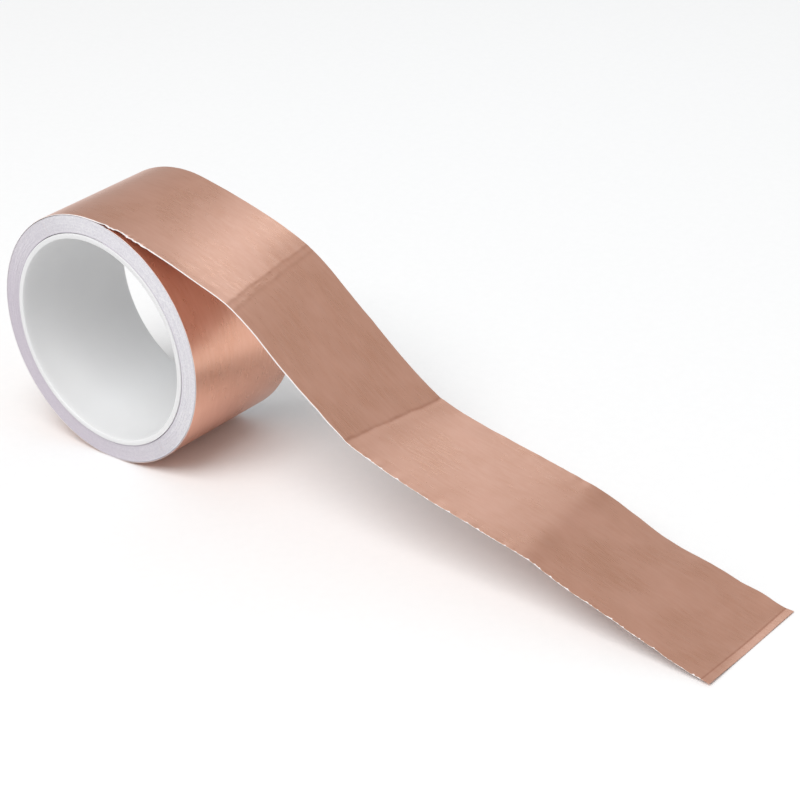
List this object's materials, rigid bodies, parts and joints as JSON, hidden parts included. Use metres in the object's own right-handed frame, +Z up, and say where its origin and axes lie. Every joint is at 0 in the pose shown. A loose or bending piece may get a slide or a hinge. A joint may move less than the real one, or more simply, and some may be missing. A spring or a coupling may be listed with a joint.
{
  "type": "copper foil tape roll",
  "caption": "Roll of copper foil tape on a white plastic core, with a creased length drawn off over the top and laid down, its end folded into a tab.",
  "frame": {"origin": "centre of the core's bore, halfway along the roll's axis", "axes": "+Y along the roll's axis, +X the way the strip is drawn off, +Z up"},
  "size_m": [0.3046, 0.051, 0.0943],
  "materials": {
    "copper": "satin rolled copper foil",
    "adhesive": "clear acrylic adhesive",
    "liner": "coated release paper",
    "core_plastic": "white moulded plastic"
  },
  "bodies": {
    "outer_turn": {"outer_turn_foil": "copper", "outer_turn_adhesive": "adhesive", "outer_turn_liner": "liner"},
    "roll": {"core": "core_plastic", "core_tack_tape": "adhesive", "winding_foil": "copper", "winding_adhesive": "adhesive", "winding_liner": "liner"},
    "lead": {"lead_foil": "copper", "lead_adhesive": "adhesive", "lead_liner": "liner"},
    "slope": {"slope_foil": "copper", "slope_adhesive": "adhesive", "slope_liner": "liner"},
    "run": {"run_foil": "copper", "run_adhesive": "adhesive", "run_liner": "liner"},
    "tail": {"tail_foil": "copper", "tail_adhesive": "adhesive", "tail_liner": "liner"},
    "free_end": {"free_end_foil": "copper", "free_end_adhesive": "adhesive", "end_tab": "copper"}
  },
  "joints": [
    {"name": "roll_spin", "type": "hinge", "parent": "outer_turn", "child": "roll", "pos_m": [0, 0, 0], "axis": [0, 1, 0], "continuous": true},
    {"name": "strip_lift", "type": "hinge", "parent": "outer_turn", "child": "lead", "pos_m": [0.0098, 0, 0.04612], "axis": [0, -1, 0], "range_deg": [0, 45]},
    {"name": "fold_a", "type": "hinge", "parent": "lead", "child": "slope", "pos_m": [0.0624, 0, 0.03028], "axis": [0, -1, 0], "range_deg": [0, 45]},
    {"name": "fold_b", "type": "hinge", "parent": "slope", "child": "run", "pos_m": [0.1158, 0, -0.00998], "axis": [0, -1, 0], "range_deg": [0, 60]},
    {"name": "fold_c", "type": "hinge", "parent": "run", "child": "tail", "pos_m": [0.18204, 0, -0.02502], "axis": [0, -1, 0], "range_deg": [0, 45]},
    {"name": "end_peel", "type": "hinge", "parent": "tail", "child": "free_end", "pos_m": [0.20874, 0, -0.03345], "axis": [0, -1, 0], "range_deg": [0, 120]}
  ]
}
